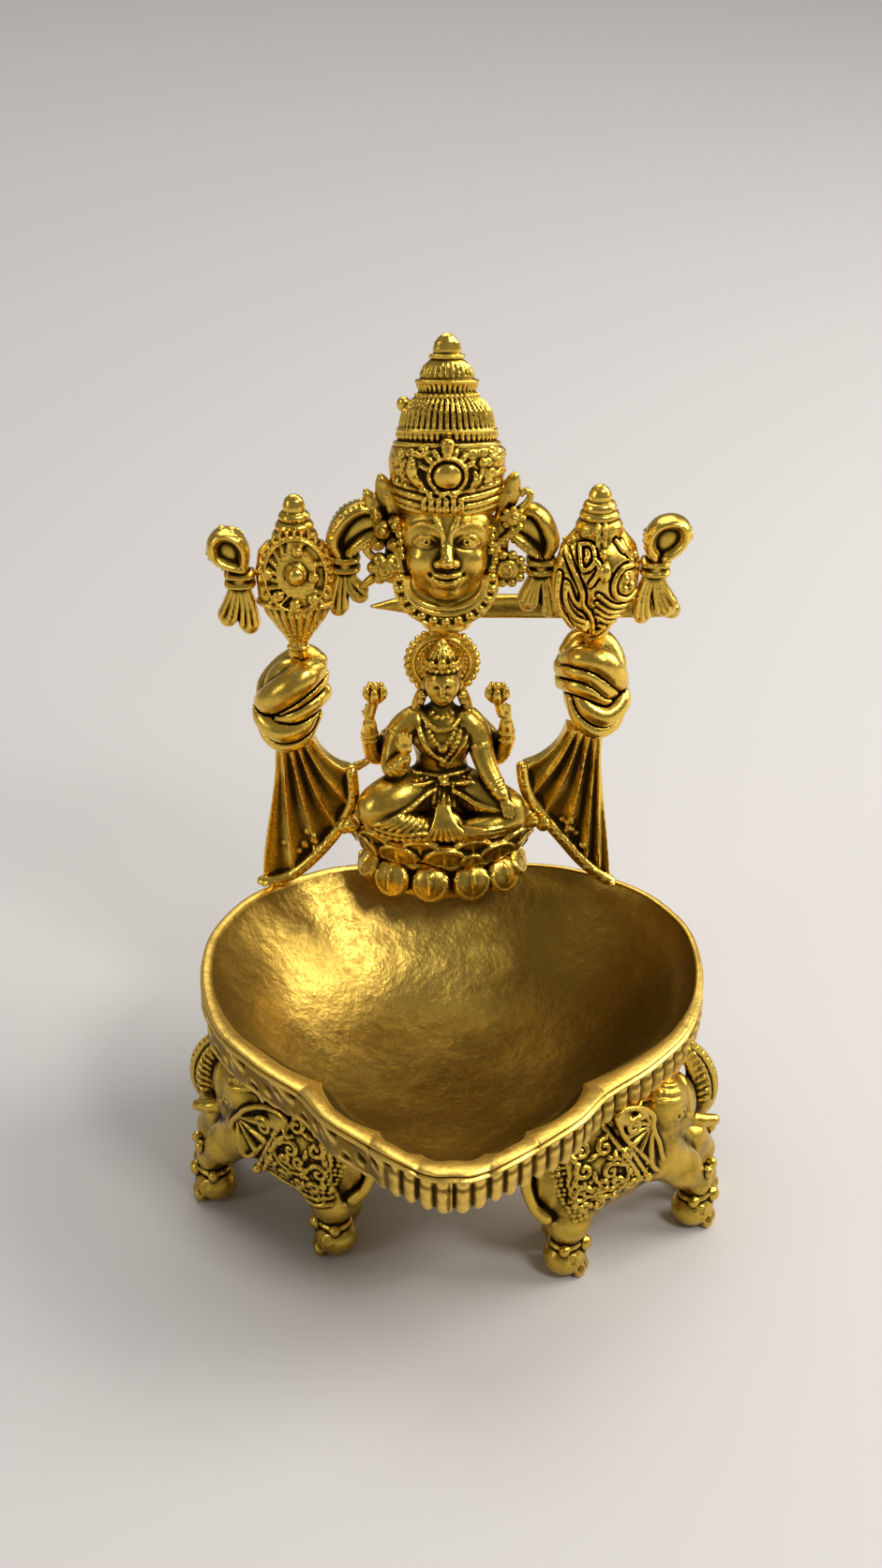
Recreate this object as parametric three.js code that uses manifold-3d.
// A cast brass oil lamp, in millimetres, +Z up, standing on the plane z = 0.
// A leaf-shaped oil bowl, its spout towards -Y, is carried on the backs of elephants. On the rear of its rim
// stand a seated four-armed goddess on a lotus and two knotted drapes. The drapes carry a discus emblem on
// the left and a conch emblem on the right, and ribbon bows tie both to a large crowned head in the middle.
// Every piece is its own casting, and a named clearance, where the brazing runs, parts it from the next.
import * as THREE from "three";
import { mergeVertices } from "three/addons/utils/BufferGeometryUtils.js";
import Module from "manifold-3d";

const wasm = await Module();
wasm.setup();

// Driving dimensions
const brazingGap = 0.3;
const rimHeight = 44;
const bowlHalfWidth = 47.5;
const spoutReach = 53.6;
const backReach = 46;
const bowlDepth = 25;
const bowlWall = 2.4;
const lipWidth = 1.9;
const lipDepth = 1.7;
const fluteBandHeight = 7.6;
const fluteDepth = 0.75;
const ruffleDepth = 1.1;
const ruffleRise = 1.2;
const elephantLength = 44;
const elephantWidth = 16;
const elephantBite = 0.6;
const tuskLength = 6.2;
const lotusHalfWidth = 19.4;
const lotusHalfDepth = 11.6;
const lowerPetalHeight = 8.2;
const upperPetalHeight = 7.6;
const castBackDepth = 6;
const figureHalfWidth = 17.4;
const figureDepth = 13;
const haloRadius = 7.6;
const haloThickness = 2.2;
const haloRise = 49.9;
const haloScallopDepth = 0.8;
const drapeHeight = 31.7;
const rightLift = 2.2;
const drapeDepth = 5;
const foldDepth = 1.3;
const hemRadius = 1.15;
const columnLean = 4.95;
const knotSetOut = 0.65;
const drapeSweep = 17.6;
const knotWidth = 16;
const knotHeight = 19.6;
const knotDepth = 12.4;
const potHeight = 25;
const potRadius = 8.2;
const potDepthShare = 0.5;
const finialHeight = 10.2;
const finialRadius = 4.1;
const discHalfWidth = 7.4;
const discHalfHeight = 9.2;
const discThickness = 2.6;
const headHalfWidth = 8.9;
const headHeight = 17.6;
const headDepth = 6.6;
const crownHeight = 35;
const crownRadius = 11.2;
const crownDepthShare = 0.64;
const headLeanShare = 0.3;
const collarWidth = 3.3;
const collarThickness = 3;
const collarBeadRelief = 0.7;
const flowerRadius = 3.5;
const bowLength = 11;
const bowTubeRadius = 1.5;
const bowBandWidth = 4.4;
const bowTailLength = 13;
const stayRadius = 0.7;
const braceHeight = 6;
const braceThickness = 2.4;
const braceLeftReach = 15.5;
const braceRightReach = 46;
// The rear castings stand a little to the left of the bowl's middle, the lower ones more than the upper ones.
const upperOffset = -1;
const lowerOffset = -1.9;

// Colours as the metal shows them
const brightBrass = { color: 0xc79a2c, roughness: 0.32, metalness: 1 };
const agedBrass = { color: 0x9a7424, roughness: 0.42, metalness: 1 };
const bowlBrass = { color: 0xa98834, roughness: 0.36, metalness: 1 };

const fullTurn = 2 * Math.PI;
const weldShare = 1e-6;
const weldTolerance = weldShare * rimHeight;
const lerp = THREE.MathUtils.lerp;
const radians = THREE.MathUtils.degToRad;
const vector = (x, y, z) => new THREE.Vector3(x, y, z);

function closedBody(vertProperties, corners) {
  const numProp = 3;
  return new wasm.Manifold(new wasm.Mesh({ numProp, vertProperties, triVerts: new Uint32Array(corners) }));
}

// A closed geometry as a solid that can be joined and cut, turned face out if it was inside out.
function solid(geometry) {
  const bare = new THREE.BufferGeometry();
  bare.setAttribute("position", geometry.getAttribute("position"));
  if (geometry.index) bare.setIndex(geometry.index);
  const merged = mergeVertices(bare, weldTolerance);
  const corners = [];
  const index = merged.index.array;
  for (let i = 0; i < index.length; i += 3) {
    const [a, b, c] = [index[i], index[i + 1], index[i + 2]];
    if (a !== b && b !== c && c !== a) corners.push(a, b, c);
  }
  const vertProperties = merged.attributes.position.array;
  const made = closedBody(vertProperties, corners);
  return made.volume() > 0 ? made : closedBody(vertProperties, corners.reverse());
}

const join = (solids) => wasm.Manifold.union(solids);

// A closed body through rings of points. Neighbouring rings may hold different numbers of points, and a ring
// of one point is an apex. An end ring of more than one point is closed by a flat fan.
function loft(rings) {
  const points = rings.flat();
  const starts = [];
  rings.reduce((sum, ring) => (starts.push(sum), sum + ring.length), 0);
  const index = [];
  for (let k = 0; k + 1 < rings.length; k++) {
    const [n, m] = [rings[k].length, rings[k + 1].length];
    const low = (i) => starts[k] + (i % n);
    const high = (j) => starts[k + 1] + (j % m);
    const [lowSteps, highSteps] = [n > 1 ? n : 0, m > 1 ? m : 0];
    let [i, j] = [0, 0];
    while (i < lowSteps || j < highSteps) {
      const lowFirst = j >= highSteps || (i < lowSteps && (i + 1) * m <= (j + 1) * n);
      if (lowFirst) index.push(low(i), low(++i), high(j));
      else index.push(low(i), high(j + 1), high(j++));
    }
  }
  const cap = (ring, start, up) => {
    if (ring.length < 2) return;
    const middle = points.length;
    points.push(ring.reduce((sum, p) => sum.add(p), vector(0, 0, 0)).divideScalar(ring.length));
    ring.forEach((_, i) => {
      const [a, b] = [start + i, start + ((i + 1) % ring.length)];
      index.push(...(up ? [middle, a, b] : [middle, b, a]));
    });
  };
  cap(rings[0], starts[0], false);
  cap(rings.at(-1), starts.at(-1), true);
  const geometry = new THREE.BufferGeometry().setFromPoints(points);
  return solid(geometry.setIndex(index));
}

// An ellipsoid, its radii grown where a neighbour is to keep clear of it.
function ellipsoid(centre, radii, grow = 0, turn = [0, 0, 0], around = 8, up = 6) {
  const ball = new THREE.SphereGeometry(1, around, up);
  ball.scale(radii[0] + grow, radii[1] + grow, radii[2] + grow);
  ball.applyMatrix4(new THREE.Matrix4().makeRotationFromEuler(new THREE.Euler(...turn)));
  return solid(ball.translate(...centre));
}

// A round limb through stations [x, y, z, radius]. Its ends are rounded over, or flat where a neighbour hides
// them.
const roundingShares = [0.68, 0.73];
function limb(stations, grow = 0, sides = 6, rounded = true) {
  const centres = stations.map(([x, y, z]) => vector(x, y, z));
  const radii = stations.map((s) => s[3] + grow);
  const last = centres.length - 1;
  const along = centres.map((_, i) => {
    return centres[Math.min(i + 1, last)].clone().sub(centres[Math.max(i - 1, 0)]).normalize();
  });
  const upright = new THREE.Vector3(0, 1, 0);
  const ring = (centre, way, radius) => {
    const side = upright.clone().cross(way);
    if (side.lengthSq() < 0.05) side.set(1, 0, 0);
    side.normalize();
    const front = way.clone().cross(side);
    return Array.from({ length: sides }, (_, i) => {
      const angle = (i * fullTurn) / sides;
      const offset = side.clone().multiplyScalar(radius * Math.cos(angle));
      return offset.addScaledVector(front, radius * Math.sin(angle)).add(centre);
    });
  };
  const rings = centres.map((centre, i) => ring(centre, along[i], radii[i]));
  if (!rounded) return loft(rings);
  const finish = (i, sign) => {
    const [way, radius] = [along[i], radii[i]];
    const at = (share) => centres[i].clone().addScaledVector(way, sign * share * radius);
    return [ring(at(roundingShares[0]), way, roundingShares[1] * radius), [at(1)]];
  };
  return loft([...finish(0, -1).reverse(), ...rings, ...finish(last, 1)]);
}

// A body turned about an upright axis through rows [z, radius, count, ribs], flattened front to back.
function turned(centre, rows, flatShare, grow = 0, ribDepth = 0) {
  const rings = rows.map(([z, radius, count, ribs = 0], k) => {
    const ends = (k === rows.length - 1 ? grow : 0) - (k === 0 ? grow : 0);
    if (radius === 0) return [vector(centre[0], centre[1], z + ends)];
    return Array.from({ length: count }, (_, i) => {
      const angle = (i * fullTurn) / count;
      const reach = radius + grow + (ribs ? ribDepth * Math.cos(ribs * angle) : 0);
      const [across, back] = [reach * Math.cos(angle), flatShare * reach * Math.sin(angle)];
      return vector(centre[0] + across, centre[1] + back, z + ends);
    });
  });
  return loft(rings);
}

// The part of a solid on one side of a plane, which lies at a distance along a direction.
const keepAbove = (body, z) => body.trimByPlane([0, 0, 1], z);
const keepInFront = (body, y) => body.trimByPlane([0, -1, 0], -y);

// Oil bowl
// The rim seen from above, from the spout to the back, as shares of the half width and of the reach each way.
const rimOutlineShares = [
  [0, -1], [0.125, -0.972], [0.41, -0.755], [0.55, -0.58], [0.73, -0.425], [0.88, -0.262], [0.963, -0.07],
  [1, 0.17], [0.985, 0.41], [0.905, 0.62], [0.79, 0.77], [0.62, 0.895], [0.36, 0.975], [0, 1],
];
const halfOutline = rimOutlineShares.map(([x, y]) => {
  return vector(x * bowlHalfWidth, y * (y < 0 ? spoutReach : backReach), 0);
});
const mirroredOutline = halfOutline.slice(1, -1).reverse().map((p) => vector(-p.x, p.y, 0));
const rimCurve = new THREE.CatmullRomCurve3([...halfOutline, ...mirroredOutline], true);
const rimSamples = rimCurve.getSpacedPoints(360).slice(0, -1);

// How far the rim lies from the bowl's centre in a direction, the angle counted from the spout.
function rimReach(angle) {
  const direction = vector(Math.sin(angle), -Math.cos(angle), 0);
  const nearest = rimSamples.reduce((best, p) => {
    return p.clone().normalize().dot(direction) > best.clone().normalize().dot(direction) ? p : best;
  });
  return nearest.length();
}

// The front edge is ruffled: lobes of equal width on each side of the spout, with a notch between them.
const ruffleLobes = 2;
const lobeAngle = radians(22);
function ruffle(angle) {
  const fromSpout = Math.abs(Math.atan2(Math.sin(angle), Math.cos(angle)));
  return fromSpout < ruffleLobes * lobeAngle ? Math.abs(Math.sin((Math.PI * fromSpout) / lobeAngle)) : 0;
}

// The hollow's section, from the rim to the middle, as [share of reach, share of depth].
const hollowShares = [[1, 0], [0.93, 0.11], [0.82, 0.37], [0.66, 0.7], [0.46, 0.92], [0.22, 1]];
const fluteCount = 56;
const plainPoints = 28;
const flutePoints = 2 * fluteCount;

function bowlRing(count, share, offset, z, options = {}) {
  const { flutes = 0, rise = 0 } = options;
  return Array.from({ length: count }, (_, i) => {
    const angle = (i * fullTurn) / count;
    const wave = ruffle(angle);
    const reach = share * (rimReach(angle) + rise * ruffleDepth * wave) + offset + (i % 2 ? -flutes : flutes);
    return vector(reach * Math.sin(angle), -reach * Math.cos(angle), z + rise * ruffleRise * wave);
  });
}

function bowl(grow = 0) {
  const bandTop = rimHeight - lipDepth;
  const bandFoot = bandTop - fluteBandHeight;
  const groove = lipWidth / 2;
  const underside = hollowShares.slice(2).reverse().map(([reach, depth]) => {
    return bowlRing(plainPoints, reach, bowlWall / 2 + grow, rimHeight - depth * bowlDepth - bowlWall - grow);
  });
  const bandRows = [
    [plainPoints, -groove, bandFoot - lipDepth / 2, 0, 0],
    [flutePoints, groove, bandFoot, fluteDepth / 2, 0],
    [flutePoints, lipWidth, bandFoot + fluteBandHeight / 3, fluteDepth, 0.5],
    [flutePoints, lipWidth, bandTop - lipDepth, fluteDepth, 1],
    [plainPoints, groove, bandTop, 0, 1],
    [plainPoints, lipWidth + groove / 2, rimHeight - lipDepth / 2, 0, 1],
    [plainPoints, lipWidth, rimHeight, 0, 1],
  ];
  const band = bandRows.map(([count, offset, z, flutes, rise], k) => {
    const lift = k === bandRows.length - 1 ? grow : 0;
    return bowlRing(count, 1, offset + grow, z + lift, { flutes, rise });
  });
  const outside = loft([...underside, ...band]);
  if (grow > 0) return outside;
  const hollow = hollowShares.map(([reach, depth], k) => {
    return bowlRing(plainPoints, reach, 0, rimHeight - depth * bowlDepth, { rise: k ? 0 : 1 });
  });
  const above = bowlRing(plainPoints, 1, 0, rimHeight + lipDepth, { rise: 1 });
  return outside.subtract(loft([above, ...hollow].reverse()));
}

// The height of the bowl's underside over a point of the floor.
function undersideHeight(x, y) {
  const share = Math.hypot(x, y) / rimReach(Math.atan2(x, -y));
  const k = Math.max(1, hollowShares.findIndex(([reach]) => reach <= share));
  const [[outerReach, outerDepth], [innerReach, innerDepth]] = [hollowShares[k - 1], hollowShares[k]];
  const depth = lerp(outerDepth, innerDepth, (outerReach - share) / (outerReach - innerReach));
  return rimHeight - depth * bowlDepth - bowlWall;
}

// Elephants
// Each is built facing +X. Places are shares of its length, its width and the height of its back. Its side
// away from the viewer strides ahead.
// Torso rows, rump to brow: [place, middle height, half width, half height, whether the cloth covers it].
const torsoShares = [
  [-0.51, 0.62, 0.14, 0.12], [-0.46, 0.64, 0.36, 0.26], [-0.38, 0.64, 0.45, 0.33],
  [-0.37, 0.64, 0.46, 0.33, true], [-0.16, 0.64, 0.49, 0.35, true], [0.01, 0.65, 0.46, 0.33, true],
  [0.02, 0.65, 0.45, 0.33], [0.1, 0.74, 0.37, 0.28], [0.2, 0.83, 0.35, 0.21], [0.29, 0.81, 0.22, 0.13],
];
const torsoPoints = 10;
const clothSwellShare = 0.11;
const clothFootShare = -0.25;
const trunkPathShares = [[0, 0], [0.9, 0.1], [1.3, 0.32], [1.05, 0.64], [0.5, 0.9]];
const trunkRadiusShares = [0.24, 0.2, 0.18, 0.15, 0.13];
// Legs as [forward, sideways, height, radius] from hip to sole; on its stride side both are set ahead.
const hindLegShares = [[-0.3, 0.2, 0.52, 0.27], [-0.34, 0.23, 0.26, 0.19], [-0.335, 0.23, 0.19, 0.18]];
const foreLegShares = [[0.1, 0.2, 0.52, 0.25], [0.27, 0.22, 0.3, 0.18], [0.335, 0.23, 0.19, 0.17]];
const footShares = [[0, 0, 0.12, 0.26], [0, 0, 0, 0.22]];
const strideShares = { hind: 0.1, fore: 0.14 };

function elephant(grow, trunkEnd, strideSide) {
  const place = (u, v, z) => [u * elephantLength, v * elephantWidth, z * backHeight];
  // The torso is lofted from the rump to the brow, and the saddle cloth steps out over its upper part.
  const torso = loft(torsoShares.map(([u, z, wide, tall, covered]) => {
    return Array.from({ length: torsoPoints }, (_, i) => {
      const angle = (i * fullTurn) / torsoPoints;
      const swell = covered && Math.sin(angle) > clothFootShare ? 1 + clothSwellShare : 1;
      const across = (wide * elephantWidth * swell + grow) * Math.cos(angle);
      const up = (tall * backHeight * swell + grow) * Math.sin(angle);
      return vector(u * elephantLength, across, z * backHeight + up);
    });
  }));
  const tailRadius = 0.06 * elephantWidth;
  const tail = limb([
    [...place(-0.5, 0, 0.72), tailRadius], [...place(-0.55, 0, 0.42), 1.4 * tailRadius],
  ], grow, 4, false);
  const parts = [torso, tail];
  for (const side of [-1, 1]) {
    const ear = place(-0.03, 0.45 * side, 0.75);
    parts.push(ellipsoid(ear, place(0.11, 0.08, 0.24), grow, [0, 0.3, 0.35 * side], 6, 4));
    const tuskRoot = place(0.22, 0.2 * side, 0.72);
    const tuskTip = [tuskRoot[0] + tuskLength, tuskRoot[1] * 1.35, tuskRoot[2] - tuskLength / 4];
    const tuskRadius = tuskLength / 5;
    parts.push(limb([[...tuskRoot, tuskRadius], [...tuskTip, tuskRadius / 2]], grow, 4, false));
    for (const [shares, stride] of [[hindLegShares, strideShares.hind], [foreLegShares, strideShares.fore]]) {
      const ankle = shares.at(-1);
      const sole = footShares.map(([u, v, z, r]) => [ankle[0] + u, ankle[1] + v, z, r]);
      const leg = [...shares, ...sole].map(([u, v, z, r], i) => {
        const ahead = side === strideSide ? Math.min(i / 2, 1) * stride : 0;
        return [...place(u + ahead, v * side, z), r * elephantWidth];
      });
      leg.at(-1)[2] -= grow;
      parts.push(limb(leg, grow, 6, false));
    }
  }
  // The trunk lifts from the brow to the bowl's lip.
  const root = vector(...place(0.24, 0, 0.74));
  const tip = vector(...trunkEnd);
  const forward = 0.1 * elephantLength;
  const trunk = trunkPathShares.map(([u, z], i) => {
    const x = lerp(root.x, tip.x, z) + u * forward;
    return [x, lerp(root.y, tip.y, z), lerp(root.z, tip.z, z), trunkRadiusShares[i] * elephantWidth];
  });
  trunk.push([tip.x, tip.y, tip.z, trunkRadiusShares.at(-1) * elephantWidth]);
  parts.push(limb(trunk, grow, 6, false));
  return keepAbove(join(parts), 0);
}

// Where each elephant stands and which way it faces, places as shares of the bowl's half width.
const elephantStandShares = {
  elephant_left: { x: -0.705, y: -0.245, heading: radians(146.5), strideSide: -1 },
  elephant_right: { x: 0.705, y: -0.385, heading: radians(29), strideSide: 1 },
  elephant_rear: { x: 0, y: 0.7, heading: radians(90), strideSide: 1 },
};

// All have one height, so that the front pair's backs meet the bowl's underside.
const standPoint = ({ x, y }) => [x * bowlHalfWidth, y * bowlHalfWidth];
const frontStands = [elephantStandShares.elephant_left, elephantStandShares.elephant_right];
const undersides = frontStands.map((stand) => undersideHeight(...standPoint(stand)));
const meanUnderside = undersides.reduce((sum, height) => sum + height, 0) / undersides.length;
const backHeight = meanUnderside + elephantBite;

function standingElephant(grow, stand) {
  const [x, y] = standPoint(stand);
  const forward = vector(Math.cos(stand.heading), Math.sin(stand.heading), 0);
  const sideways = vector(-forward.y, forward.x, 0);
  // The trunk ends on the fluted band, at the rim point ahead of the brow.
  const ahead = vector(x, y, 0).addScaledVector(forward, 0.3 * elephantLength);
  const rimAngle = Math.atan2(ahead.x, -ahead.y);
  const rimPoint = vector(Math.sin(rimAngle), -Math.cos(rimAngle), 0).multiplyScalar(rimReach(rimAngle));
  const toRim = rimPoint.sub(vector(x, y, 0));
  const trunkEnd = [toRim.dot(forward), toRim.dot(sideways), rimHeight - lipDepth - 0.5 * fluteBandHeight];
  const body = elephant(grow, trunkEnd, stand.strideSide);
  return body.rotate([0, 0, THREE.MathUtils.radToDeg(stand.heading)]).translate([x, y, 0]);
}

// The rear assembly
const sideOf = { left: -1, right: 1 };
const footAngle = radians(139.5);
const footReach = rimReach(footAngle) + lipWidth / 2;
const columnFoot = vector(Math.sin(footAngle), -Math.cos(footAngle), 0).multiplyScalar(footReach);
const backPlane = columnFoot.y;
const emblemX = columnFoot.x - columnLean;
const seatHeight = rimHeight + brazingGap;
const castBack = backPlane + castBackDepth;

const liftOf = { left: 0, right: rightLift };
const knotX = (side) => sideOf[side] * (emblemX + knotSetOut);
// The halo's middle stands above the seat, and the neck of the large head stands on the halo.
const haloMiddle = seatHeight + haloRise;
const knotMiddle = (side) => seatHeight + drapeHeight + liftOf[side] + knotHeight / 2;
const potFoot = (side) => knotMiddle(side) + knotHeight / 2;

// Lotus pedestal: two rings of petals, each ring lofted with one lobe to a petal and its tips raised.
const lowerPetals = 11;
const upperPetals = 13;
const lowerTop = seatHeight + lowerPetalHeight;
const lotusTop = lowerTop + upperPetalHeight;
// Rows of [share of height, share of reach, share of lobe depth, share of tip height].
const lowerPetalShares = [[0, 0.7, 0.5, 0], [0.35, 0.92, 1.3, 0], [0.7, 0.9, 1.2, 0], [1, 0.78, 0.5, 0]];
const upperPetalShares = [
  [0, 0.74, 0.4, 0], [0.35, 0.9, 0.8, 0], [0.85, 1, 1, 1], [0.9, 0.84, 0.6, 0.9], [1, 0.8, 0, 0],
];
const petalLobeShare = 0.1;
const petalTipShare = 0.32;

function petalRing(grow, petals, rows, floor, height) {
  const pointsToPetal = 4;
  const count = petals * pointsToPetal;
  const rings = rows.map(([up, out, lobed, raised], k) => {
    const ends = (k === rows.length - 1 ? grow : 0) - (k === 0 ? grow : 0);
    return Array.from({ length: count }, (_, i) => {
      const angle = (i * fullTurn) / count - fullTurn / 4;
      const lobe = Math.abs(Math.sin((Math.PI * i) / pointsToPetal));
      const reach = out - petalLobeShare * lobed * (1 - lobe);
      const x = (reach * lotusHalfWidth + grow) * Math.cos(angle);
      const y = backPlane + (reach * lotusHalfDepth + grow) * Math.sin(angle);
      return vector(x, y, floor + (up + petalTipShare * raised * (lobe - 0.5)) * height + ends);
    });
  });
  return keepInFront(loft(rings), castBack + grow);
}

function lotusLower(grow = 0) {
  return petalRing(grow, lowerPetals, lowerPetalShares, seatHeight, lowerPetalHeight);
}

function lotusUpper(grow = 0) {
  const floor = lowerTop + brazingGap;
  const ring = petalRing(grow, upperPetals, upperPetalShares, floor, lotusTop - floor);
  // A bud closes the ring on each side, under the knees.
  const buds = [-1, 1].map((side) => {
    const bud = 0.11 * lotusHalfWidth;
    const at = [side * 0.95 * lotusHalfWidth, backPlane, lotusTop - 0.3 * bud];
    return ellipsoid(at, [bud * 1.3, bud, bud], grow, [0, 0, 0], 6, 5);
  });
  return join([ring, ...buds]);
}

// Drape: cloth gathered under the knot, swept in to a corner. Its rolled hem runs down and out to the foot.
const drapeOutlineShares = { cornerDrop: 0.24, shoulder: 0.5, waist: 0.34 };
const pleatCount = 5;

function drape(side, grow = 0) {
  const sign = sideOf[side];
  const top = seatHeight + drapeHeight + liftOf[side] + knotHeight * 0.12;
  const footX = sign * (columnFoot.x + drapeDepth / 3);
  const gatherX = sign * emblemX;
  const gather = 0.22 * knotWidth;
  const corner = vector(footX - sign * (drapeSweep + drapeDepth / 3), backPlane, 0);
  corner.z = lerp(seatHeight, top, 1 - drapeOutlineShares.cornerDrop);
  const across = 10;
  const down = 5;
  // A point of the cloth: s runs from the outer edge to the corner, t from the gather to the hem.
  const place = (s, t) => {
    const start = vector(gatherX + sign * gather * (1 - 2 * s), backPlane, top);
    const hemShare = s ** 0.9;
    const end = vector(lerp(footX, corner.x, hemShare), backPlane, lerp(seatHeight, corner.z, s ** 1.25));
    const { waist, shoulder } = drapeOutlineShares;
    const bend = vector(lerp(start.x, end.x, waist), backPlane, lerp(start.z, end.z, shoulder));
    return new THREE.QuadraticBezierCurve3(start, bend, end).getPoint(t);
  };
  const halfDepth = (s, t) => {
    const pleat = Math.abs(Math.cos(pleatCount * Math.PI * s)) * foldDepth * Math.min(1, 3 * t + 0.3);
    const edge = Math.sqrt(Math.max(0, 1 - (2 * s - 1) ** 8));
    return (drapeDepth / 2 - foldDepth + pleat) * (0.35 + 0.65 * edge) + grow;
  };
  const rings = [];
  for (let j = 0; j <= down; j++) {
    const t = j / down;
    const front = [];
    const back = [];
    for (let i = 0; i <= across; i++) {
      const s = i / across;
      const spread = grow * (s < 0.5 ? sign : -sign) * (i === 0 || i === across ? 1 : 0);
      const point = place(s, t).add(vector(spread, 0, j === 0 ? grow : 0));
      front.push(point.clone().add(vector(0, -halfDepth(s, t), 0)));
      if (i % 5 === 0) back.push(point.clone().add(vector(0, drapeDepth / 2 + grow, 0)));
    }
    rings.push([...front, ...back.reverse()]);
  }
  const hemSteps = 6;
  const hem = Array.from({ length: hemSteps + 1 }, (_, i) => {
    const p = place(1 - i / hemSteps, 1);
    return [p.x, p.y - drapeDepth / 3, p.z, hemRadius];
  });
  const cloth = join([loft(rings), limb(hem, grow, 5, false)]);
  return keepAbove(cloth, seatHeight - grow);
}

// Knot: turns of rolled cloth laid over a core, each a tilted ring.
const knotTurnShares = [
  { height: 0.27, tilt: 0.62, turn: 0.2 },
  { height: 0.02, tilt: -0.5, turn: -0.2 },
  { height: -0.12, tilt: 0.38, turn: 0.3 },
  { height: -0.27, tilt: 0.12, turn: 0 },
];

function knot(side, grow = 0) {
  const sign = sideOf[side];
  const centre = [knotX(side), backPlane, knotMiddle(side)];
  const radii = [knotWidth * 0.4, knotDepth * 0.4, knotHeight * 0.5];
  const parts = [ellipsoid(centre, radii, grow, [0, 0, 0], 6, 4)];
  for (const { height, tilt, turn } of knotTurnShares) {
    const rollRadius = 0.145 * knotHeight;
    const inset = 1 - 0.9 * height ** 2 * 4;
    const ringRadius = (knotWidth / 2 - rollRadius) * inset;
    const roll = new THREE.TorusGeometry(ringRadius, rollRadius * 0.95 + grow, 5, 8);
    roll.scale(1, knotDepth / knotWidth, 1);
    roll.rotateY(sign * tilt).rotateX(turn);
    parts.push(solid(roll.translate(centre[0], centre[1], centre[2] + height * knotHeight)));
  }
  return join(parts);
}

// Emblem bodies: a flattened pot with a tail that narrows to the knot and a ringed finial on top.
const potShares = [[0, 0.25], [0.13, 0.3], [0.32, 0.78], [0.52, 0.98], [0.7, 0.97], [0.88, 0.76], [1, 0.5]];
const finialShares = [
  [0.02, 1], [0.16, 0.98], [0.2, 0.78], [0.36, 0.86], [0.44, 0.66], [0.6, 0.7], [0.66, 0.5], [0.86, 0.4],
  [1, 0],
];

function potRows(side) {
  const foot = potFoot(side) - knotHeight * 0.06;
  const top = foot + potHeight;
  const pot = potShares.map(([z, r]) => [foot + z * potHeight, r * potRadius, 12]);
  const finial = finialShares.map(([z, r]) => [top + z * finialHeight, r * finialRadius, r ? 8 : 1]);
  return [...pot, ...finial];
}

function discusPot(grow = 0) {
  return turned([-emblemX, backPlane], potRows("left"), potDepthShare, grow);
}

// The pot's radius at a share of its height.
function potReach(share) {
  const k = Math.max(1, potShares.findIndex(([z]) => z >= share));
  const [[low, lowReach], [high, highReach]] = [potShares[k - 1], potShares[k]];
  return lerp(lowReach, highReach, (share - low) / (high - low)) * potRadius;
}

// Whorls wind down the conch's lower half, each [share of the pot's height, its thickness as such a share].
// The lip of its mouth rolls over on the left.
const whorlShares = [[0.56, 0.058], [0.43, 0.051], [0.32, 0.045], [0.22, 0.04]];
const whorlRiseShare = 0.1;

function conch(grow = 0) {
  const side = "right";
  const body = turned([emblemX, backPlane], potRows(side), potDepthShare, grow);
  const foot = potFoot(side) - knotHeight * 0.06;
  const whorls = whorlShares.map(([level, thick]) => {
    const reach = potReach(level);
    const ends = backPlane - 0.2 * potDepthShare * reach;
    const front = backPlane - potDepthShare * reach;
    const [z, rise] = [foot + level * potHeight, whorlRiseShare * potHeight];
    const roll = thick * potHeight;
    return limb([
      [emblemX - 0.6 * reach, ends, z - 0.8 * rise, 0.7 * roll],
      [emblemX, front, z, roll],
      [emblemX + 0.7 * reach, ends, z + rise, 0.8 * roll],
    ], grow, 5, false);
  });
  const lipRow = (across, depth, level, thick) => {
    const reach = potReach(level);
    return [emblemX - across * reach, backPlane - depth * reach, foot + level * potHeight, thick * potRadius];
  };
  const lip = limb([
    lipRow(0.6, 0.3, 0.86, 0.1), lipRow(0.68, 0.4, 0.64, 0.16), lipRow(0.4, 0.52, 0.46, 0.17),
    lipRow(0.2, 0.45, 0.3, 0.1),
  ], grow, 5, false);
  return join([body, ...whorls, lip]);
}

// Discus: a rimmed wheel facing forward, with teeth round the edge, a hub boss and a ring of studs.
const discTeeth = 20;
const discStuds = 8;
const discLevelShare = 0.775;
// Rows of [share of thickness, share of radius, points, toothed].
const discRowShares = [
  [0, 0.95, discTeeth], [0.5, 1, 2 * discTeeth, true], [0.8, 0.99, 2 * discTeeth, true], [1, 0.86, discTeeth],
  [0.72, 0.76, discTeeth], [0.72, 0.34, 10], [1.1, 0.26, 10], [1.55, 0.12, 6], [1.6, 0, 1],
];

// A disc facing -Y, built up from its back in rows of [share of thickness, share of radius, points, toothed],
// and taller than wide where its height share is over one.
function facingDisc(centre, radius, thickness, rows, toothDepth, grow, tallShare = 1) {
  const rings = rows.map(([depth, reach, count, toothed], k) => {
    const y = centre[1] - depth * thickness - (k === 0 ? -grow : grow);
    if (reach === 0) return [vector(centre[0], y, centre[2])];
    return Array.from({ length: count }, (_, i) => {
      const angle = (i * fullTurn) / count;
      const notch = toothed && i % 2 ? toothDepth : 0;
      const r = reach * radius - notch + grow;
      return vector(centre[0] + r * Math.cos(angle), y, centre[2] + tallShare * r * Math.sin(angle));
    });
  });
  return loft(rings);
}

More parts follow.
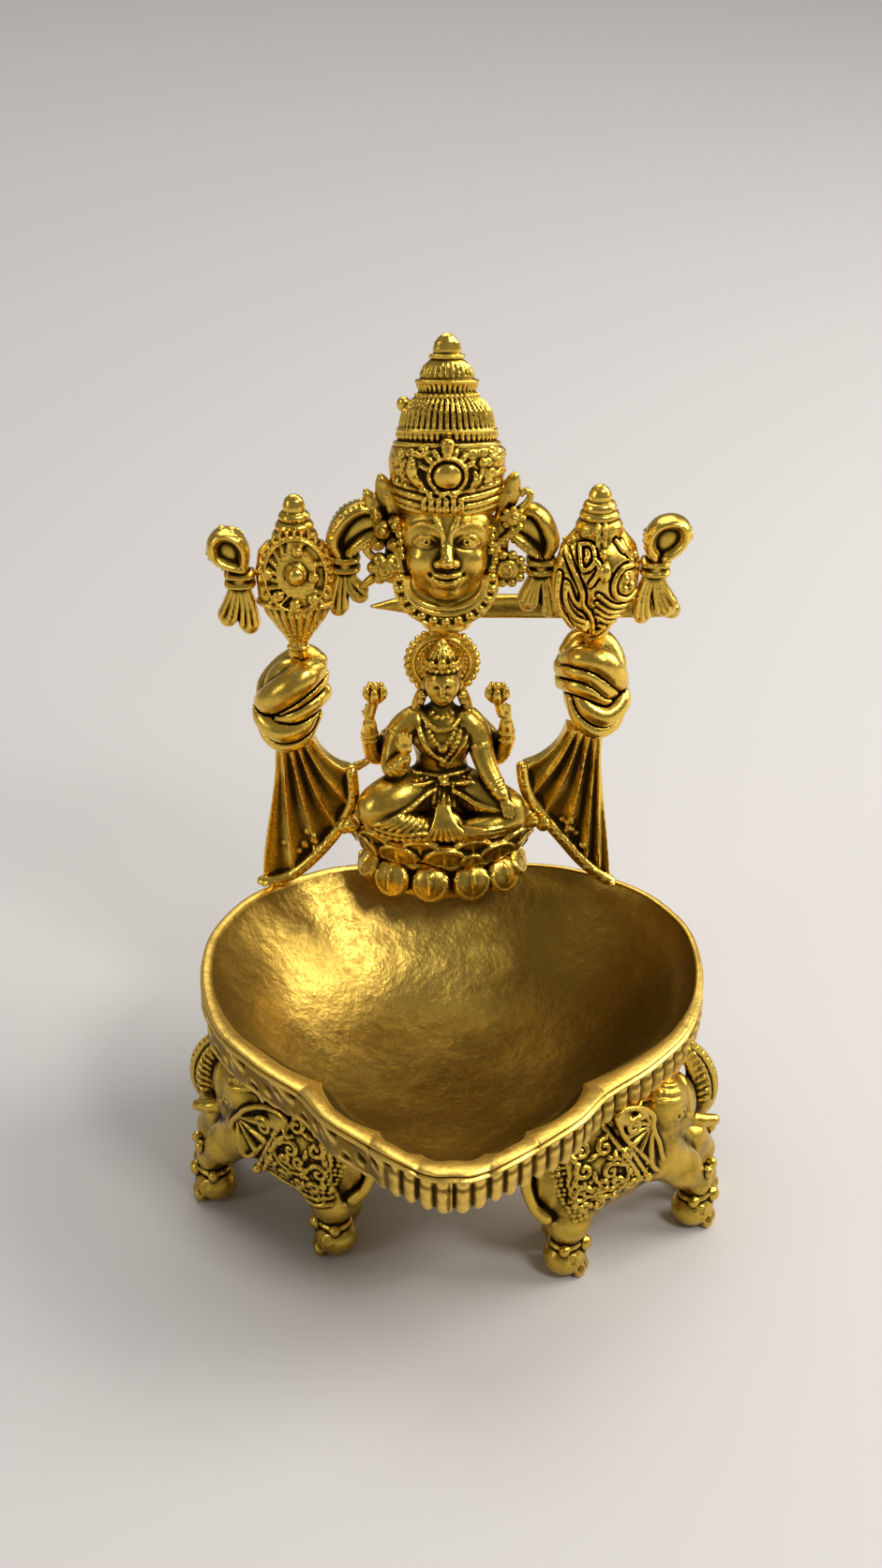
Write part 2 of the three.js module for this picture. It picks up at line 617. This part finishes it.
function discus(grow = 0) {
  const back = backPlane - potDepthShare * potRadius * 0.62;
  const centre = [-emblemX, back, potFoot("left") + discLevelShare * potHeight];
  const tallShare = discHalfHeight / discHalfWidth;
  const toothDepth = 0.08 * discHalfWidth;
  const wheel = facingDisc(centre, discHalfWidth, discThickness, discRowShares, toothDepth, grow, tallShare);
  const studRadius = 0.1 * discHalfWidth;
  const studs = Array.from({ length: discStuds }, (_, i) => {
    const angle = (i * fullTurn) / discStuds;
    const reach = 0.56 * discHalfWidth;
    const up = tallShare * reach * Math.sin(angle);
    const at = [centre[0] + reach * Math.cos(angle), back - 0.72 * discThickness, centre[2] + up];
    return ellipsoid(at, [studRadius, studRadius, studRadius], grow, [0, 0, 0], 4, 4);
  });
  return join([wheel, ...studs]);
}

// The crowned head, its chin level with the middle of the pots' tails. It leans back: every point stands
// higher the further it lies in front of the back plane.
function leanBack(body) {
  const drop = headLeanShare * backPlane;
  return body.transform([1, 0, 0, 0, 0, 1, -headLeanShare, 0, 0, 0, 1, 0, 0, 0, drop, 1]);
}

const chinHeight = potFoot("left") + 0.52 * potHeight;
const browHeight = chinHeight + headHeight;
const earX = headHalfWidth + 0.2 * flowerRadius;

const faceShares = [[0, 0.2], [0.07, 0.46], [0.17, 0.66], [0.31, 0.82], [0.55, 0.97], [0.78, 1], [1, 0.98]];

function head(grow = 0) {
  const face = turned([0, backPlane], faceShares.map(([z, r]) => {
    return [chinHeight + z * headHeight, r * headHalfWidth, 14];
  }), headDepth / headHalfWidth, grow);
  const front = backPlane - headDepth;
  const w = headHalfWidth;
  const level = (share) => chinHeight + share * headHeight;
  const nose = limb([
    [0, front + 0.05 * headDepth, level(0.78), 0.07 * w],
    [0, front - 0.1 * headDepth, level(0.5), 0.12 * w],
  ], grow, 4, false);
  const parts = [face, nose];
  const bump = (x, y, z, radii) => {
    const scaled = radii.map((share) => share * w);
    parts.push(ellipsoid([x * w, front + y * headDepth, level(z)], scaled, grow, [0, 0, 0], 6, 4));
  };
  bump(0, 0.02, 0.46, [0.2, 0.12, 0.09]);
  for (const lip of [0.3, 0.25]) bump(0, 0.1, lip, [0.3, 0.1, 0.05]);
  for (const side of [-1, 1]) {
    bump(side * 0.42, 0.13, 0.66, [0.2, 0.09, 0.08]);
    parts.push(limb([
      [side * 0.16 * w, front + 0.04 * headDepth, level(0.77), 0.05 * w],
      [side * 0.44 * w, front + 0.1 * headDepth, level(0.83), 0.06 * w],
      [side * 0.72 * w, front + 0.32 * headDepth, level(0.76), 0.04 * w],
    ], grow, 4, false));
    bump(side, 1, 0.6, [0.1, 0.2, 0.4]);
  }
  // The neck runs down behind the collar.
  const neckFoot = haloMiddle + haloRadius + brazingGap;
  const neck = [0.55 * w, 0.45 * headDepth, chinHeight - neckFoot];
  parts.push(ellipsoid([0, backPlane, chinHeight], neck, grow));
  return leanBack(join(parts));
}

// Crown: brow band, carved band with a round jewel, ribbed dome and tiers up to a bulb.
const crownShares = [
  [0, 0.94, 16], [0.06, 0.97, 16], [0.12, 0.9, 16], [0.14, 0.96, 16], [0.27, 1, 16], [0.4, 0.95, 16],
  [0.42, 0.88, 16], [0.45, 0.94, 16], [0.485, 0.91, 16], [0.51, 0.82, 24, 12], [0.585, 0.72, 24, 12],
  [0.635, 0.6, 24, 12], [0.65, 0.56, 12], [0.68, 0.59, 12], [0.72, 0.48, 12], [0.755, 0.51, 12],
  [0.805, 0.4, 8], [0.825, 0.28, 8], [0.86, 0.3, 8], [0.88, 0.24, 8], [0.93, 0.22, 8], [0.975, 0.12, 8],
  [1, 0, 1],
];
const jewelRowShares = [
  [0, 0.8, 8], [0.5, 1, 16, true], [0.75, 0.98, 16, true], [0.8, 0.7, 8], [0.6, 0.62, 8], [1.1, 0.42, 8],
  [1.3, 0, 1],
];

function crown(grow = 0) {
  const floor = browHeight + brazingGap;
  const rows = crownShares.map(([z, r, count, ribs]) => {
    return [floor + z * crownHeight, r * crownRadius, count, ribs];
  });
  const body = turned([0, backPlane], rows, crownDepthShare, grow, 0.035 * crownRadius);
  const front = backPlane - crownDepthShare * crownRadius;
  const jewelZ = floor + 0.22 * crownHeight;
  const jewelRadius = 0.34 * crownRadius;
  const jewelDepth = 0.8 * jewelRadius;
  const jewelBack = [0, front + 0.5 * jewelDepth, jewelZ];
  const jewel = facingDisc(jewelBack, jewelRadius, jewelDepth, jewelRowShares, 0.1 * jewelRadius, grow);
  const leaf = [jewelRadius * 0.3, jewelRadius * 0.3, jewelRadius * 0.7];
  const crestAt = [0, front + 0.03 * crownRadius, jewelZ + 1.5 * jewelRadius];
  const crest = ellipsoid(crestAt, leaf, grow, [0.15, 0, 0], 6, 4);
  const knobRadius = 0.15 * crownRadius;
  const knobAt = [-0.68 * crownRadius, backPlane + 0.2 * crownRadius, floor + 0.58 * crownHeight];
  const knob = ellipsoid(knobAt, [knobRadius, knobRadius, knobRadius * 1.35], grow, [0, 0, 0], 6, 4);
  return leanBack(join([body, jewel, crest, knob]));
}

// Collar: a half ring of beads hung below the chin, one swelling of the band to a bead.
const collarReach = headHalfWidth + 0.4 * collarWidth;
const collarMiddle = chinHeight + 0.2 * headHeight;
const collarTallShare = 0.78;
const collarBeads = 11;

function collar(grow = 0) {
  const steps = 2 * collarBeads;
  const spread = radians(100);
  const middleReach = collarReach - collarWidth / 2;
  const y = backPlane - headDepth * 0.35;
  const sectionShares = [[-1, -0.5], [-0.5, -1], [0.5, -1], [1, -0.5], [1, 1], [-1, 1]];
  const band = Array.from({ length: steps + 1 }, (_, i) => {
    const angle = -fullTurn / 4 + lerp(-spread, spread, i / steps);
    const across = vector(Math.cos(angle), 0, Math.sin(angle));
    const down = collarTallShare * collarReach - collarWidth / 2;
    const centre = vector(middleReach * across.x, y, collarMiddle + down * across.z);
    const swell = i % 2 ? collarBeadRelief : 0;
    const [h, d] = [(collarWidth + swell) / 2 + grow, collarThickness / 2 + grow];
    return sectionShares.map(([a, b]) => {
      const forward = b < 0 ? b * (d + swell) : b * d;
      return centre.clone().addScaledVector(across, a * h).add(vector(0, forward, 0));
    });
  });
  return loft(band);
}

// Ear flowers: a rosette at the lobe, a cluster of buds above it and two leaves that stand beside the crown.
const rosettePetals = 7;
const rosetteShares = [
  [0, 0.6, rosettePetals], [0.2, 1, 2 * rosettePetals, true], [0.7, 0.96, 2 * rosettePetals, true],
  [0.8, 0.5, rosettePetals], [1.2, 0.3, 5], [1.3, 0, 1],
];
const budShares = [[0.35, 0.15, 0.5], [-0.35, 0.45, 0.42], [0.05, -0.6, 0.42]];
// Rows of [reach outwards, reach back, height, width], all shares of the flower's radius.
const earLeafShares = [[0.5, 0.9, 2.2, 0.46], [1.2, 0.7, 1.35, 0.3]];

function earFlowers(side, grow = 0) {
  const sign = sideOf[side];
  const y = backPlane - 0.1 * headDepth;
  const x = sign * (earX + 0.62 * flowerRadius);
  const low = chinHeight + 0.42 * headHeight;
  const high = chinHeight + 0.93 * headHeight;
  const f = flowerRadius;
  const rosetteBack = [x, y + 0.4 * f, low];
  const parts = [facingDisc(rosetteBack, f, f, rosetteShares, 0.22 * f, grow)];
  parts.push(limb([[x, y, low, 0.42 * f], [x - sign * 0.2 * f, y, high, 0.45 * f]], grow, 5));
  for (const [u, z, r] of budShares) {
    const at = [x + sign * u * f, y - 0.3 * f, high + z * f];
    parts.push(ellipsoid(at, [r * f, r * f, r * f], grow, [0, 0, 0], 6, 4));
  }
  const leaf = (out, back, tall, width) => limb([
    [x - sign * 0.1 * f, y, high, 0.6 * width],
    [x + sign * 0.5 * out * f, y + 0.6 * back * f, high + 0.55 * tall * f, width],
    [x + sign * out * f, y + back * f, high + tall * f, 0.3 * width],
  ], grow, 5, false);
  parts.push(...earLeafShares.map(([out, back, tall, width]) => leaf(out, back, tall, width * f)));
  return join(parts);
}

// Ribbon bow: a loop of rolled ribbon, a band that gathers it and pleated tails that flare out below.
const tailPleatShares = [
  [-1, 0.2, 0.84], [-0.6, -0.9, 0.9], [-0.2, 0.1, 0.78], [0.15, -0.9, 1], [0.55, 0.1, 0.8], [1, -0.8, 0.92],
];
const ribbonSectionShares = [[0, -1.1], [1, 0], [0, 1.1], [-1, 0]];

function bow(grow, band, loopEnd, tailWay) {
  const from = vector(band[0], backPlane, band[1]);
  const axis = vector(loopEnd[0], backPlane, loopEnd[1]).sub(from);
  const reach = axis.length();
  axis.normalize();
  const across = vector(axis.z, 0, -axis.x);
  const ribbonDepth = 1.5 * bowTubeRadius;
  const heart = from.clone().addScaledVector(axis, reach * 0.55);
  const steps = 10;
  const rings = Array.from({ length: steps }, (_, i) => {
    const angle = (i * fullTurn) / steps;
    const fullness = 0.55 + 0.45 * Math.sin(angle / 2) ** 2;
    const swell = 0.45 * Math.min(reach, bowLength) * Math.sin(angle) * fullness;
    const centre = from.clone().addScaledVector(axis, reach * (0.5 - 0.5 * Math.cos(angle)));
    centre.addScaledVector(across, swell);
    const outward = centre.clone().sub(heart).normalize();
    return ribbonSectionShares.map(([a, b]) => {
      const offset = vector(0, b * (ribbonDepth + grow), 0);
      return centre.clone().addScaledVector(outward, a * (0.85 * bowTubeRadius + grow)).add(offset);
    });
  });
  const sides = ribbonSectionShares.length;
  const index = [];
  for (let i = 0; i < steps; i++) {
    for (let j = 0; j < sides; j++) {
      const at = (a, b) => (a % steps) * sides + (b % sides);
      index.push(at(i, j), at(i + 1, j), at(i + 1, j + 1), at(i, j), at(i + 1, j + 1), at(i, j + 1));
    }
  }
  const loop = solid(new THREE.BufferGeometry().setFromPoints(rings.flat()).setIndex(index));
  const bandRadii = [bowBandWidth / 2, 1.25 * ribbonDepth, bowBandWidth * 0.38];
  const gather = ellipsoid([from.x, backPlane, from.z], bandRadii, grow, [0, 0, 0], 6, 4);
  // The tails are one pleated fan: its section keeps its pleats from the band to the uneven lower edge.
  const fan = [0, 0.5, 1].map((down) => {
    const half = lerp(0.22, 0.5, down ** 0.8) * bowTailLength * 0.8 + grow;
    const middle = from.x + tailWay * 0.14 * bowTailLength * down;
    const point = ([u, depth, length], y) => {
      const edge = down === 1 ? grow : 0;
      return vector(middle + u * half, backPlane + y, from.z - down * length * 0.88 * bowTailLength - edge);
    };
    const thickness = ribbonDepth * 0.75;
    const front = tailPleatShares.map((pleat) => {
      return point(pleat, pleat[1] * thickness * (0.4 + 0.6 * down) - grow);
    });
    const back = tailPleatShares.map((pleat) => {
      return point(pleat, thickness * (1 + 0.5 * pleat[1] * down) + grow);
    });
    return [...front, ...back.reverse()];
  });
  return join([loop, gather, loft(fan.reverse())]);
}

const outerBowLevel = (side) => potFoot(side) + 0.67 * potHeight;
const innerBowLevel = (side) => potFoot(side) + 0.77 * potHeight;
const bandReach = potRadius * 0.93 + bowBandWidth * 0.45;

function innerBow(side, grow) {
  const sign = sideOf[side];
  const band = [sign * (emblemX - bandReach), innerBowLevel(side)];
  const loopEnd = [sign * (earX + 0.85 * flowerRadius), chinHeight + 1.02 * headHeight];
  return bow(grow, band, loopEnd, 0);
}

function outerBow(side, grow) {
  const sign = sideOf[side];
  const band = [sign * (emblemX + bandReach), outerBowLevel(side)];
  const lean = radians(30);
  const loopEnd = [band[0] + sign * bowLength * Math.sin(lean), band[1] + bowLength * Math.cos(lean)];
  return bow(grow, band, loopEnd, sign);
}

// The goddess, seated cross-legged, every place a share of her half width, her depth and her height.
const figureHeight = haloMiddle + 0.8 * haloRadius - lotusTop;

function goddess(grow = 0) {
  const floor = lotusTop + brazingGap;
  const at = (x, y, z) => [x * figureHalfWidth, backPlane - y * figureDepth, floor + z * figureHeight];
  const unit = figureHalfWidth;
  const bone = (rows, sides = 5) => {
    return limb(rows.map(([x, y, z, r]) => [...at(x, y, z), r * unit]), grow, sides, false);
  };
  const bulk = (x, y, z, rx, ry, rz, around = 6, up = 4) => {
    return ellipsoid(at(x, y, z), [rx * unit, ry * unit, rz * unit], grow, [0, 0, 0], around, up);
  };
  const parts = [
    bulk(0, 0.2, 0.16, 0.6, 0.42, 0.34, 8, 6),
    bone([[0, 0.16, 0.2, 0.4], [0, 0.18, 0.34, 0.29], [0, 0.22, 0.46, 0.36], [0, 0.16, 0.58, 0.22]], 8),
    bone([
      [-0.58, 0.12, 0.5, 0.11], [-0.36, 0.12, 0.53, 0.16], [0.36, 0.12, 0.53, 0.16], [0.52, 0.12, 0.5, 0.11],
    ]),
    bone([[0, 0.18, 0.52, 0.16], [0, 0.24, 0.72, 0.13]]),
    bulk(0, 0.28, 0.76, 0.215, 0.22, 0.27, 8, 6),
    bone([[0, 0.2, 0.84, 0.2], [0, 0.2, 0.93, 0.13], [0, 0.2, 1, 0.05]], 6),
    bone([
      [-0.9, 0.44, 0.085, 0.12], [-0.7, 0.56, 0.085, 0.17], [-0.1, 0.8, 0.07, 0.15], [0.42, 0.78, 0.06, 0.1],
    ]),
    bone([
      [0.9, 0.44, 0.085, 0.12], [0.7, 0.56, 0.085, 0.17], [0.1, 0.68, 0.09, 0.15], [-0.3, 0.7, 0.1, 0.1],
    ]),
    bulk(-0.2, 0.32, 0.46, 0.17, 0.16, 0.17),
    bulk(0.2, 0.32, 0.46, 0.17, 0.16, 0.17),
    bulk(0, 0.46, 0.27, 0.12, 0.08, 0.1),
  ];
  for (const side of [-1, 1]) {
    parts.push(bone([
      [side * 0.3, 0.3, 0.17, 0.3], [side * 0.72, 0.46, 0.14, 0.27], [side * 0.93, 0.5, 0.1, 0.17],
    ], 6));
    const elbow = side < 0 ? -0.77 : 0.62;
    const hand = side < 0 ? -0.82 : 0.73;
    parts.push(bone([[side * 0.5, 0.04, 0.5, 0.13], [elbow, 0.06, 0.36, 0.11], [hand, 0.1, 0.58, 0.085]]));
    parts.push(bulk(hand, 0.14, 0.61, 0.11, 0.1, 0.16));
    parts.push(bulk(hand - side * 0.06, 0.16, 0.7, 0.13, 0.12, 0.14));
  }
  parts.push(bone([[-0.5, 0.16, 0.53, 0.15], [-0.56, 0.28, 0.31, 0.13], [-0.4, 0.56, 0.44, 0.1]]));
  parts.push(bulk(-0.38, 0.6, 0.48, 0.1, 0.06, 0.14));
  parts.push(bone([[0.44, 0.16, 0.53, 0.15], [0.54, 0.32, 0.31, 0.13], [0.7, 0.68, 0.18, 0.1]]));
  parts.push(bulk(0.76, 0.72, 0.17, 0.12, 0.1, 0.09));
  // Pleats of the robe fan out over the crossed shins.
  for (const spread of [-0.2, 0, 0.2]) {
    parts.push(bone([[spread * 0.3, 0.6, 0.2, 0.045], [spread * 1.1, 0.94, 0.05, 0.06]], 4));
  }
  const body = keepInFront(join(parts), castBack + grow);
  return keepAbove(body, floor - grow);
}

// Halo: a disc with a scalloped edge and a raised ring, behind her head and standing on her shoulders.
const haloScallops = 16;
const haloRowShares = [
  [0, 0.94, haloScallops], [0.35, 1, 2 * haloScallops, true], [0.8, 0.97, 2 * haloScallops, true],
  [0.9, 0.84, haloScallops], [0.6, 0.72, 12],
];

function halo(grow = 0) {
  const centre = [0, backPlane + haloThickness / 2, haloMiddle];
  return facingDisc(centre, haloRadius, haloThickness, haloRowShares, haloScallopDepth, grow);
}

// A thin stay, left from casting, joins the left drape's corner to her raised elbow.
function elbowStay(grow = 0) {
  const floor = lotusTop + brazingGap;
  const elbow = [-0.77 * figureHalfWidth, backPlane - 0.06 * figureDepth, floor + 0.36 * figureHeight];
  const top = seatHeight + drapeHeight + knotHeight * 0.12;
  const cornerZ = lerp(seatHeight, top, 1 - drapeOutlineShares.cornerDrop);
  const cornerX = -(columnFoot.x + drapeDepth / 3) + (drapeSweep + drapeDepth / 3);
  return limb([
    [cornerX - 2 * stayRadius, backPlane, cornerZ - stayRadius, stayRadius],
    [elbow[0], elbow[1], elbow[2], stayRadius],
  ], grow, 6, false);
}

// Brace: a flat bar behind the head, pointed on the left, with bosses that reach the head and the conch.
function brace(grow = 0) {
  const level = chinHeight - 0.32 * headHeight;
  const outline = new THREE.Shape();
  const top = level + braceHeight / 2 + grow;
  const underside = level - braceHeight / 2 - grow;
  outline.moveTo(-braceLeftReach - grow, level + 0.1 * braceHeight);
  outline.quadraticCurveTo(-braceLeftReach / 2, top, 0, top);
  outline.lineTo(0.86 * braceRightReach, top);
  outline.quadraticCurveTo(braceRightReach + grow, top - grow, braceRightReach + grow, level);
  outline.quadraticCurveTo(0.9 * braceRightReach, underside, 0.6 * braceRightReach, underside);
  outline.lineTo(-braceLeftReach / 3, underside);
  const depth = braceThickness + 2 * grow;
  const bar = new THREE.ExtrudeGeometry(outline, { depth, bevelEnabled: false, curveSegments: 4 });
  // The extrusion runs along +Z: standing it up turns its outline into the XZ plane.
  const standing = backPlane + 0.72 * headDepth;
  bar.rotateX(Math.PI / 2).translate(0, standing + braceThickness + grow, 0);
  const bossRadius = 0.4 * braceHeight;
  const boss = (x, reach) => limb([
    [x, reach, level, bossRadius], [x, standing + braceThickness / 2, level, bossRadius],
  ], grow, 6, false);
  return join([solid(bar), boss(0, backPlane), boss(emblemX, backPlane)]);
}

// Assembly
// Pieces in the order in which they are seated: each is cut back by the ones before it, grown by the gap.
// With each goes its distance from the bowl's middle.
const seatingOrder = [
  ["oil_bowl", bowl, bowlBrass, 0],
  ["lotus_lower_petals", lotusLower, brightBrass, lowerOffset],
  ["lotus_upper_petals", lotusUpper, brightBrass, lowerOffset],
  ["goddess_figure", goddess, brightBrass, lowerOffset],
  ["knot_left", (grow) => knot("left", grow), brightBrass, lowerOffset],
  ["knot_right", (grow) => knot("right", grow), brightBrass, lowerOffset],
  ["drape_left", (grow) => drape("left", grow), brightBrass, lowerOffset],
  ["drape_right", (grow) => drape("right", grow), brightBrass, lowerOffset],
  ["discus_pot", discusPot, brightBrass, upperOffset],
  ["conch", conch, brightBrass, upperOffset],
  ["discus", discus, brightBrass, upperOffset],
  ["deity_head", head, brightBrass, upperOffset],
  ["crown", crown, brightBrass, upperOffset],
  ["collar", collar, brightBrass, upperOffset],
  ["goddess_halo", halo, brightBrass, lowerOffset],
  ["ear_flowers_left", (grow) => earFlowers("left", grow), agedBrass, upperOffset],
  ["ear_flowers_right", (grow) => earFlowers("right", grow), agedBrass, upperOffset],
  ["bow_outer_left", (grow) => outerBow("left", grow), brightBrass, upperOffset],
  ["bow_inner_left", (grow) => innerBow("left", grow), agedBrass, upperOffset],
  ["bow_inner_right", (grow) => innerBow("right", grow), agedBrass, upperOffset],
  ["bow_outer_right", (grow) => outerBow("right", grow), brightBrass, upperOffset],
  ["elbow_stay", elbowStay, agedBrass, lowerOffset],
  ["rear_brace", brace, agedBrass, upperOffset],
  ...Object.entries(elephantStandShares).map(([name, stand]) => {
    return [name, (grow) => standingElephant(grow, stand), agedBrass, 0];
  }),
];

function overlaps(a, b) {
  const [p, q] = [a.boundingBox(), b.boundingBox()];
  return [0, 1, 2].every((axis) => p.min[axis] < q.max[axis] && q.min[axis] < p.max[axis]);
}

// The main body of a cut piece: where a neighbour passes right through, the sliver beyond it is lost.
function mainBody(body) {
  return body.decompose().reduce((best, part) => (part.volume() > best.volume() ? part : best));
}

const seated = [];
for (const [name, build, finish, offset] of seatingOrder) {
  const place = (grow) => build(grow).translate([offset, 0, 0]);
  const body = seated.reduce((rest, other) => {
    return overlaps(rest, other.grown) ? rest.subtract(other.grown) : rest;
  }, place(0));
  seated.push({ name, finish, body: mainBody(body), grown: place(brazingGap) });
}

const lamp = new THREE.Group();
for (const { name, finish, body } of seated) {
  const mesh = body.getMesh();
  const geometry = new THREE.BufferGeometry();
  geometry.setAttribute("position", new THREE.BufferAttribute(mesh.vertProperties, mesh.numProp));
  geometry.setIndex(new THREE.BufferAttribute(mesh.triVerts, 1));
  geometry.computeVertexNormals();
  const piece = new THREE.Mesh(geometry, new THREE.MeshStandardMaterial(finish));
  piece.name = name;
  lamp.add(piece);
}

// The origin is on the floor, under the middle of the lamp's outer box.
const box = new THREE.Box3().setFromObject(lamp);
lamp.position.set(-(box.min.x + box.max.x) / 2, -(box.min.y + box.max.y) / 2, 0);

export default lamp;
